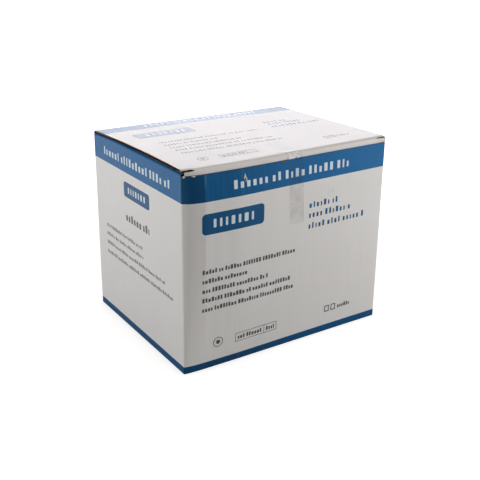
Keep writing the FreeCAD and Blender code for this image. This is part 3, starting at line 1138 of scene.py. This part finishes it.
class Press:
    """Prints one face with plain blocks, lines and rings, on a sheet for each ink.

    Places are in millimetres across the face and up it.
    """

    def __init__(self, inks, surface, chance):
        self.white, self.blue, self.dark = inks
        self.surface = surface
        self.chance = chance

    def row(self, ink, start, end, level, size):
        """Blocks of two heights that stand for a line of print, in groups of two to nine."""
        height, widths, gap, space, radius = size
        at, left_in_group = start, self.chance.randint(*FIRST_GROUP)
        low = level - height / 2.0
        while at < end - widths[0] * 0.4:
            width = min(self.chance.uniform(*widths), end - at)
            rise = height * LOW_BLOCK if self.chance.random() < 0.5 else height
            slab(ink, self.surface, block(at, low, at + width, low + rise, radius))
            at += width + gap
            left_in_group -= 1
            if left_in_group == 0:
                at += space
                left_in_group = self.chance.randint(*LATER_GROUP)

    def plate(self, left, low, right, high):
        """A blue plate with rounded corners, and a row of pale blocks across it."""
        height, width = high - low, right - left
        slab(self.blue, self.surface, block(left, low, right, high, height * PLATE_CORNER), 4)
        foot, top = low + height * PLATE_BLOCK_FOOT, low + height * PLATE_BLOCK_TOP
        at, stop = left + width * PLATE_BLOCKS_START, left + width * PLATE_BLOCKS_END
        while at < stop - PLATE_BLOCK_LEAST:
            across = min(self.chance.uniform(*PLATE_BLOCK_WIDTHS) * height, stop - at)
            columns = block(at, foot, at + across, top, PLATE_BLOCK_RADIUS)
            slab(self.white, self.surface, columns, 1, PLATE_INK_OVER, PLATE_INK_UNDER)
            at += across + height * PLATE_BLOCK_GAP

    def box(self, left, low, right, high, line, divider=None):
        """A thin outlined box, with an upright line across it if one is given."""
        slab(self.dark, self.surface, block(left, high - line, right, high))
        slab(self.dark, self.surface, block(left, low, right, low + line))
        for start in (left, right - line, divider):
            if start is not None:
                slab(self.dark, self.surface, block(start, low + line, start + line, high - line))

    def target(self, centre, level):
        """A disc in a thin ring."""
        outer, inner = [], []
        for lift, rows in ((INK_OVER, outer), (INK_UNDER, inner)):
            for reach in (RING_RADIUS - RING_LINE, RING_RADIUS):
                row = []
                for number in range(RING_POINTS):
                    turn = 2.0 * math.pi * number / RING_POINTS
                    across, up = centre + reach * math.cos(turn), level + reach * math.sin(turn)
                    row.append(self.dark.point(self.surface(across, up, lift)))
                rows.append(row)
        self.dark.grid([outer[0], outer[1], inner[1], inner[0], outer[0]], closed=True)
        slab(self.dark, self.surface, disc(centre, level, DISC_RADIUS))


def print_front(press):
    """The print of the front and of the back."""
    press.row(press.white, 53.0, 200.5, 191.9, TITLE)
    press.plate(18.0, 147.0, 88.8, 168.0)
    for end, level in ((187.0, 154.2), (203.5, 143.3), (224.8, 131.4)):
        press.row(press.blue, 146.8, end, level, LARGE)
    for end, level in ((131.0, 108.8), (71.0, 98.9), (95.5, 88.7), (125.5, 78.5), (131.0, 68.3)):
        press.row(press.dark, 18.5, end, level, SMALL)
    press.target(37.5, 28.2)
    press.box(58.0, 22.2, 109.8, 32.0, THIN_LINE, 93.5)
    press.row(press.dark, 61.0, 90.5, 27.1, SMALL)
    press.row(press.dark, 96.5, 107.0, 27.1, SMALL)
    for left in (175.5, 184.5):
        press.box(left, 24.0, left + 6.5, 31.5, THICK_LINE)
    press.row(press.dark, 194.0, 212.0, 27.2, SMALL)


def print_side(press):
    """The print of the left and right sides."""
    press.row(press.white, 26.0, 174.8, 192.4, TITLE)
    press.plate(73.0, 153.2, 131.4, 169.8)
    press.row(press.dark, 76.0, 129.8, 131.0, BOLD)
    for end, level in ((112.2, 106.5), (113.5, 96.5), (161.0, 86.0), (177.2, 74.8)):
        press.row(press.dark, 24.5, end, level, FINE)


def print_lid(press):
    """The print of the lid, with its top towards the hinge."""
    press.row(press.white, 55.0, 203.0, 184.0, TITLE)
    press.plate(22.0, 127.5, 91.5, 149.0)
    for start, end, level in ((176.5, 206.0, 124.5), (176.5, 221.0, 114.5), (172.0, 237.0, 102.2)):
        press.row(press.blue, start, end, level, LARGE)
    for end, level in ((150.0, 99.0), (92.0, 86.5), (115.0, 74.5), (146.0, 63.0), (151.0, 51.0)):
        press.row(press.dark, 29.0, end, level, WORN)
    press.target(36.8, 23.3)
    press.box(56.0, 18.6, 98.5, 27.8, THIN_LINE, 86.0)
    press.row(press.dark, 59.0, 83.5, 23.2, WORN)
    for left in (190.0, 198.5):
        press.box(left, 27.0, left + 6.0, 34.0, THICK_LINE)
    press.row(press.dark, 207.5, 225.0, 30.4, WORN)


def make_print():
    """The print of every face, one piece for each ink."""
    inks = (Sheet(), Sheet(), Sheet())
    colours = settings()
    faces = (
        (print_front, on_front), (print_side, on_left), (print_lid, on_lid),
        (print_front, on_back), (print_side, on_right),
    )
    for number, (layout, surface) in enumerate(faces):
        layout(Press(inks, surface, random.Random(colours.print_seed + number % 3)))
    finishes = (
        ink_finish("knocked_out_print", colours.knocked_out, 0.0, 0.40, 0.5, GLOSS, 0.30),
        ink_finish("blue_print", scaled(colours.blue, 0.75), 0.0, 0.30, 0.36, INK_GLOSS, 0.18),
        ink_finish("dark_print", colours.dark, 0.08, 0.32, 1.0),
    )
    names = ("white_print", "blue_print", "dark_print")
    for sheet, finish, name in zip(inks, finishes, names):
        add_piece(sheet, name, [finish])


# The sealing tape: its left edge below, at the fold and on the lid
TAPE_LEFT_BELOW = 121.4
TAPE_LEFT_AT_FOLD = 118.3
TAPE_LEFT_BEHIND = 115.5
TAPE_ACROSS = 18.6
TAPE_BOTTOM = 137.5
TAPE_LID_REACH = 38.0
TAPE_FILM = 0.06
TAPE_CLEARANCE = 0.10
TAPE_TEETH = 0.8

# Wrinkles across the tape, as (height, slope, how far it stands off), and where each part's noise is read
WRINKLES = ((155.2, 0.22, 0.30), (158.4, -0.10, 0.34), (161.6, 0.16, 0.22), (152.8, -0.22, 0.18))
WRINKLE_MIDDLE, WRINKLE_WIDTH = 9.0, 0.75
CRINKLE_LEVEL = {"front": 0.0, "bridge": 9.0, "fold": 17.0, "lid": 31.0}


def tape_stations():
    """Where the tape runs, from its lower end to its end on the lid, as (part, share or place)."""
    stations = [("front", z) for z in steps(TAPE_BOTTOM, FRONT_HEIGHT, 1.0)]
    stations += [("bridge", share) for share in evenly(0.0, 1.0, 4)[1:]]
    stations += [("fold", angle) for angle in evenly(0.0, 90.0, 12)]
    stations += [("lid", share) for share in evenly(0.0, 1.0, 34)[1:]]
    return stations


def tape_crinkle(part, at, across):
    """How far the tape stands off at a place, and how sharply it is creased there."""
    spot = Vector((across * 0.35, at * 0.22, CRINKLE_LEVEL[part]))
    rough = abs(noise.noise(spot)) + 0.5 * abs(noise.noise(spot * 2.3))
    if part == "front":
        stand, crease = 0.02 + 0.04 * rough, 0.0
        for level, slope, height in WRINKLES:
            off = (at - level - slope * (across - WRINKLE_MIDDLE)) / WRINKLE_WIDTH
            ridge = math.exp(-off * off) * (0.5 + rough)
            stand += height * ridge
            crease = max(crease, ridge)
        near_top = fading(FRONT_HEIGHT - at, 7.0)
        return stand + 0.25 * rough * near_top, max(crease * 0.8, near_top * rough * 1.2)
    if part == "lid":
        near_fold = max(0.0, 1.0 - at * 3.5)
        return 0.03 + 0.05 * rough + 0.15 * rough * near_fold, near_fold * rough * 1.2
    return 0.04 + 0.12 * rough, 0.42 + 1.3 * rough


def tape_place(part, at, across, lift):
    """A point of the tape, by its part, place along it and distance across it."""
    share_across = across * settings().tape_width / MM / TAPE_ACROSS
    if part == "front":
        share = (FRONT_HEIGHT - at) / (FRONT_HEIGHT - TAPE_BOTTOM)
        x = TAPE_LEFT_AT_FOLD + (TAPE_LEFT_BELOW - TAPE_LEFT_AT_FOLD) * share + share_across
        return on_front(x, at, lift)
    x = TAPE_LEFT_AT_FOLD + share_across
    fold_z = lid_heights(x)[0]
    face = front_y(x, FRONT_HEIGHT) + BOARD
    turn_y, turn_z = face + LID_FOLD_RADIUS, fold_z - LID_FOLD_RADIUS
    reach = LID_FOLD_RADIUS + lift
    if part == "bridge":
        low = on_front(x, FRONT_HEIGHT, lift)
        return Vector(low).lerp(Vector((x, turn_y - reach - fold_forward(0.0), turn_z)), at)
    if part == "fold":
        back, rise = fold_turn(at)
        return (x, turn_y - reach * back - fold_forward(at), turn_z + reach * rise)
    x += (TAPE_LEFT_BEHIND - TAPE_LEFT_AT_FOLD) * at
    return on_lid(x, turn_y + (TAPE_LID_REACH - turn_y) * at, lift)


def make_tape():
    """The strip of clear tape, wrinkled where it crosses the fold and the cut edge."""
    sheet = Sheet()
    stations = tape_stations()
    columns = evenly(0.0, TAPE_ACROSS, 24)
    outer, inner = [], []
    for number, (part, at) in enumerate(stations):
        over, under = [], []
        for index, across in enumerate(columns):
            place = at
            if index % 2 and number == 0:
                place += TAPE_TEETH
            if index % 2 and number == len(stations) - 1:
                place -= TAPE_TEETH / TAPE_LID_REACH
            stand, crease = tape_crinkle(part, at, across)
            edge = 1.0 if 0 < index < len(columns) - 1 else 0.35
            stand = TAPE_CLEARANCE + stand * edge
            # The crease marks where the finish paints highlights
            over.append(sheet.point(tape_place(part, place, across, stand + TAPE_FILM), across, crease))
            under.append(sheet.point(tape_place(part, place, across, stand), across, crease))
        outer.append(over)
        inner.append(under)
    sheet.shell(outer, inner)
    add_piece(sheet, "clear_tape_strip", [tape_finish()], "sealing_tape", TAPE_SHARP_OVER)


# The snap-lock bottom
FLAP_REACH = 112.0
SIDE_FLAP_REACH = 82.0
SIDE_FLAP_TIP = 56.0
SIDE_FLAP_SHORT = 14.0
SIDE_FLAP_LAP = 20.0
TONGUE_HALF_WIDTH = 48.0
TONGUE_TAPER = 6.0
TONGUE_SHOWN = 16.0
TONGUE_RISE = 7.5


def bottom_surface(rise_of):
    """A bottom flap's under surface, whose height above the floor is a function of the place."""
    def surface(x, y, lift):
        relief = (0.04 - flute_lift(x)) * edge_fade(min(x, WIDTH - x))
        return (x, y, rise_of(x, y) + relief - lift)

    return surface


def make_bottom_flaps(materials):
    """The four flaps of the snap-lock bottom, as they overlap."""
    sheet = Sheet()
    flap_end = DEPTH - SIDE_FLAP_SHORT
    across = steps(CORNER_RADIUS, WIDTH - CORNER_RADIUS, FLUTE_STEP)

    def flap(rise, columns, rows):
        slab(sheet, bottom_surface(rise), columns, rows, 0.0, -BOARD, BOTTOM_AROUND, WHITE)

    flap(lambda x, y: 0.0, [(x, front_y(x, 0.0) + CORNER_RADIUS, FLAP_REACH) for x in across], 6)
    slope = (SIDE_FLAP_REACH - SIDE_FLAP_TIP) / (flap_end - FLAP_REACH)
    to_tip = steps(CORNER_RADIUS, SIDE_FLAP_TIP, FLUTE_STEP)
    side = []
    for x in to_tip + steps(SIDE_FLAP_TIP, SIDE_FLAP_REACH, FLUTE_STEP)[1:]:
        high = flap_end if x <= SIDE_FLAP_TIP else flap_end - (x - SIDE_FLAP_TIP) / slope
        side.append((x, FLAP_REACH - SIDE_FLAP_LAP, max(high, FLAP_REACH - SIDE_FLAP_LAP + 1.0)))
    flap(lambda x, y: BOARD * x / SIDE_FLAP_REACH, side, 2)
    mirrored = [(WIDTH - x, low, high) for x, low, high in reversed(side)]
    flap(lambda x, y: BOARD * (WIDTH - x) / SIDE_FLAP_REACH, mirrored, 2)
    inner = [(x, FLAP_REACH + 1.0, DEPTH - CORNER_RADIUS) for x in across]
    flap(lambda x, y: 2.0 * BOARD * (DEPTH - y) / (DEPTH - FLAP_REACH) + 0.15, inner, 4)
    middle = WIDTH / 2.0
    tongue = []
    for x in steps(middle - TONGUE_HALF_WIDTH, middle + TONGUE_HALF_WIDTH, FLUTE_STEP):
        from_side = TONGUE_HALF_WIDTH - abs(x - middle)
        end = FLAP_REACH + TONGUE_SHOWN * min(1.0, 0.1 + from_side / TONGUE_TAPER)
        tongue.append((x, FLAP_REACH, end))
    flap(lambda x, y: TONGUE_RISE * (y - FLAP_REACH) / TONGUE_SHOWN, tongue, 2)
    add_piece(sheet, "bottom_flaps", materials, "carton")


# Torn places of the front's liner, as (across, low, high): in the band, at the slit and at the corner
TEARS = (
    ((64.7, 196.4, 197.0), (65.4, 195.0, 198.8), (66.0, 193.8, 201.4), (66.5, 192.9, 199.6),
     (67.2, 193.4, 197.4), (68.3, 194.7, 195.6)),
    ((9.0, 205.9, 206.2), (10.2, 205.6, 206.3), (11.0, 204.7, 206.3), (11.8, 205.4, 206.3),
     (13.2, 205.9, 206.2)),
    ((1.3, 205.0, 206.2), (1.9, 204.6, 206.8), (2.6, 205.0, 206.9), (3.3, 205.7, 206.3)),
)
TEAR_CORE = ((65.5, 194.9, 196.4), (66.2, 193.7, 197.8), (66.8, 193.8, 196.2), (67.4, 194.4, 195.2))

# Where the front's cut edge is frayed, and the least and most of a frayed length, its depth and its gap
FRAYED_START, FRAYED_END = 17.0, 118.0
FRAYED_LENGTHS, FRAYED_DEPTHS, FRAYED_GAPS = (1.5, 5.0), (0.25, 0.8), (1.0, 9.0)

# How far the torn paper, its core and the frayed edge stand over the liner, at their outer and inner faces
TORN_LIFT, CORE_LIFT, FRAYED_LIFT = (0.22, 0.05), (0.28, 0.10), (0.14, -0.05)


def add_frayed_edge(sheet, chance):
    """Short frayed lengths of the liner along the front's cut edge."""
    at = FRAYED_START
    while at < FRAYED_END:
        length = chance.uniform(*FRAYED_LENGTHS)
        deep = FRONT_HEIGHT - chance.uniform(*FRAYED_DEPTHS)
        columns = (
            (at, deep + 0.2, FRONT_HEIGHT), (at + length / 2.0, deep, FRONT_HEIGHT),
            (at + length, deep + 0.2, FRONT_HEIGHT),
        )
        slab(sheet, on_front, columns, 1, *FRAYED_LIFT, 0.0, KRAFT)
        at += length + chance.uniform(*FRAYED_GAPS)


def make_torn_paper(materials):
    """Small places where the liner is torn: in the band, at the corner and along the cut edge."""
    sheet = Sheet()
    for columns in TEARS:
        slab(sheet, on_front, columns, 2, *TORN_LIFT, 0.0, WHITE)
    slab(sheet, on_front, TEAR_CORE, 2, *CORE_LIFT, 0.0, KRAFT)
    add_frayed_edge(sheet, random.Random(settings().print_seed))
    add_piece(sheet, "torn_paper", materials)


# The photograph's view: angles in degrees, place in millimetres, and the picture's middle and size in pixels
CAMERA_AZIMUTH, CAMERA_ELEVATION, CAMERA_ROLL = -33.69, 19.90, 0.79
CAMERA_FROM_CORNER = (-337.7, -616.4, 418.7)
SENSOR = 36.0
FOCAL_PIXELS, PHOTO_PIXELS = 802.8, 480.0
AXIS_PIXEL = (247.25, 220.14)

# The soft light all round, and the lamps: name, azimuth, elevation, distance, size, power and colour
SURROUND = 0.20
SOFTBOXES = (
    ("light_behind", 180.0 + CAMERA_AZIMUTH, 20.0, 1.4, (1.1, 0.6), 7.5, (1.0, 0.96, 1.0)),
    ("light_left", -108.0, 15.0, 1.0, (0.7, 0.7), 3.9, (1.0, 1.0, 1.0)),
    ("light_right", 58.0, 14.0, 1.0, (0.45, 0.5), 4.3, (1.0, 1.0, 1.0)),
    ("light_front", -8.0, 58.0, 1.5, (1.2, 1.2), 5.6, (1.0, 0.98, 0.96)),
)
LAMP_TARGET = (0.0, 0.0, 0.11)
FLOOR_REACH = 12.0


def away_from_carton(azimuth, elevation):
    """The direction of an azimuth and elevation in degrees. Azimuth 0 is in front and 90 to the right."""
    turn, rise = math.radians(azimuth), math.radians(elevation)
    return Vector((math.sin(turn) * math.cos(rise), -math.cos(turn) * math.cos(rise), math.sin(rise)))


def make_camera():
    """The photograph's view."""
    back = away_from_carton(CAMERA_AZIMUTH, CAMERA_ELEVATION)
    roll = math.radians(CAMERA_ROLL)
    right = (-back).cross(Vector((0.0, 0.0, 1.0))).normalized()
    up = right.cross(-back)
    turned_right = right * math.cos(roll) + up * math.sin(roll)
    turned_up = up * math.cos(roll) - right * math.sin(roll)
    lens = bpy.data.cameras.new("photo_camera")
    lens.sensor_width = SENSOR
    lens.lens = FOCAL_PIXELS / PHOTO_PIXELS * SENSOR
    lens.shift_x = (PHOTO_PIXELS / 2.0 - AXIS_PIXEL[0]) / PHOTO_PIXELS
    lens.shift_y = (AXIS_PIXEL[1] - PHOTO_PIXELS / 2.0) / PHOTO_PIXELS
    lens.clip_start, lens.clip_end = 0.01, 50.0
    camera = bpy.data.objects.new("photo_camera", lens)
    matrix = Matrix((turned_right, turned_up, back)).transposed().to_4x4()
    matrix.translation = placed(CAMERA_FROM_CORNER)
    camera.matrix_world = matrix
    bpy.context.scene.collection.objects.link(camera)
    bpy.context.scene.camera = camera


def add_softbox(name, azimuth, elevation, distance, size, power, colour):
    """A rectangular lamp aimed at the carton."""
    lamp = bpy.data.lights.new(name, "AREA")
    lamp.shape = "RECTANGLE"
    lamp.size, lamp.size_y = size
    lamp.energy = power
    lamp.color = colour
    holder = bpy.data.objects.new(name, lamp)
    away = away_from_carton(azimuth, elevation)
    holder.location = Vector(LAMP_TARGET) + away * distance
    holder.rotation_euler = away.to_track_quat("Z", "Y").to_euler()
    holder.visible_camera = False
    bpy.context.scene.collection.objects.link(holder)


def floor_finish():
    """White with a faint shadow. Reflections see a floor that is dim near the carton and pale beside it."""
    finish = Finish("studio_floor")
    finish.set(Base_Color=(0.62, 0.61, 0.60, 1.0), Roughness=0.9, Specular_IOR_Level=0.0)
    path = finish.nodes.new("ShaderNodeLightPath")
    mirrored = Value(finish, path.outputs["Is Glossy Ray"])
    seen = Value(finish, path.outputs["Is Camera Ray"])
    place = finish.place()
    aside = finish.axis(place, "X").maths("ABSOLUTE")
    away = finish.node("ShaderNodeVectorMath", {"operation": "LENGTH"}, (place,), "Value")
    strength = mirrored * aside.above(0.30, 0.14) + seen * (away.above(0.45, 0.20) * 0.34 + 0.66)
    glow = finish.node("ShaderNodeEmission", None, {"Strength": strength}, "Emission")
    plain = Value(finish, finish.shader.outputs["BSDF"])
    shown = finish.node("ShaderNodeAddShader", None, (plain, glow), "Shader")
    finish.fill(finish.output.inputs["Surface"], shown)
    return finish.material


def make_floor():
    """A large flat floor."""
    mesh = bpy.data.meshes.new("studio_floor")
    reach = FLOOR_REACH
    corners = [(-reach, -reach, 0.0), (reach, -reach, 0.0), (reach, reach, 0.0), (-reach, reach, 0.0)]
    mesh.from_pydata(corners, [], [(0, 1, 2, 3)])
    mesh.materials.append(floor_finish())
    floor = bpy.data.objects.new("studio_floor", mesh)
    bpy.context.scene.collection.objects.link(floor)


def make_surround():
    """A surround that lights softly, and is white to the camera."""
    world = bpy.data.worlds.new("studio")
    world.use_nodes = True
    bpy.context.scene.world = world
    tree = world.node_tree
    background = tree.nodes["Background"]
    background.inputs["Color"].default_value = (1.0, 1.0, 1.0, 1.0)
    path = tree.nodes.new("ShaderNodeLightPath")
    strength = tree.nodes.new("ShaderNodeMapRange")
    strength.inputs["To Min"].default_value = SURROUND
    tree.links.new(path.outputs["Is Camera Ray"], strength.inputs["Value"])
    tree.links.new(strength.outputs["Result"], background.inputs["Strength"])


def make_stage():
    """A white floor and surround, and soft lamps behind, to the left, to the right and in front."""
    make_floor()
    make_surround()
    for lamp in SOFTBOXES:
        add_softbox(*lamp)
    bpy.context.scene.view_settings.view_transform = "Standard"


BOARD_FINISHES = ("white_liner", "blue_liner", "kraft_board")


def board_materials():
    """The three finishes of the board, made once."""
    if BOARD_FINISHES[0] not in bpy.data.materials:
        BoardFinish("white_liner").bare()
        BoardFinish("blue_liner").inked(settings().blue)
        kraft_finish()
    return [bpy.data.materials[name] for name in BOARD_FINISHES]


class CARTON_OT_walls(Operator):
    """Builds the four walls"""

    bl_idname = "carton.walls"
    bl_label = "Walls"

    def execute(self, context):
        make_walls(board_materials())
        return {"FINISHED"}


class CARTON_OT_lid(Operator):
    """Builds the lid with its tuck flap and slit locks, and the dust flaps under it"""

    bl_idname = "carton.lid"
    bl_label = "Lid and dust flaps"

    def execute(self, context):
        make_lid(board_materials())
        make_dust_flaps(board_materials())
        return {"FINISHED"}


class CARTON_OT_edges(Operator):
    """Builds the fluted cut edge and the torn places of the liner"""

    bl_idname = "carton.edges"
    bl_label = "Cut and torn edges"

    def execute(self, context):
        make_front_raw_edge([board_materials()[KRAFT]])
        make_torn_paper(board_materials())
        return {"FINISHED"}


class CARTON_OT_bottom(Operator):
    """Builds the flaps of the snap-lock bottom"""

    bl_idname = "carton.bottom"
    bl_label = "Bottom flaps"

    def execute(self, context):
        make_bottom_flaps(board_materials())
        return {"FINISHED"}


class CARTON_OT_print(Operator):
    """Builds the print of all five printed faces"""

    bl_idname = "carton.print"
    bl_label = "Print"

    def execute(self, context):
        make_print()
        return {"FINISHED"}


class CARTON_OT_tape(Operator):
    """Builds the strip of sealing tape"""

    bl_idname = "carton.tape"
    bl_label = "Sealing tape"

    def execute(self, context):
        make_tape()
        return {"FINISHED"}


class CARTON_OT_stage(Operator):
    """Builds the floor, the surround, the lamps and the camera"""

    bl_idname = "carton.stage"
    bl_label = "Stage"

    def execute(self, context):
        make_stage()
        make_camera()
        return {"FINISHED"}


OPERATORS = (
    CARTON_OT_walls, CARTON_OT_lid, CARTON_OT_edges, CARTON_OT_bottom, CARTON_OT_print,
    CARTON_OT_tape, CARTON_OT_stage,
)


class CARTON_PT_panel(Panel):
    """Lists the carton's settings and the operators that build it"""

    bl_idname = "CARTON_PT_panel"
    bl_label = "Carton"
    bl_space_type = "VIEW_3D"
    bl_region_type = "UI"
    bl_category = "Carton"

    def draw(self, context):
        for name in CartonSettings.__annotations__:
            self.layout.prop(context.scene.carton_settings, name)
        for operator in OPERATORS:
            self.layout.operator(operator.bl_idname)


CLASSES = (CartonSettings,) + OPERATORS + (CARTON_PT_panel,)


def register():
    for each in CLASSES:
        bpy.utils.register_class(each)
    bpy.types.Scene.carton_settings = PointerProperty(type=CartonSettings)


def unregister():
    del bpy.types.Scene.carton_settings
    for each in reversed(CLASSES):
        bpy.utils.unregister_class(each)


def main():
    """Builds every piece."""
    register()
    for operator in OPERATORS:
        area, name = operator.bl_idname.split(".")
        getattr(getattr(bpy.ops, area), name)()


if __name__ == "__main__":
    main()
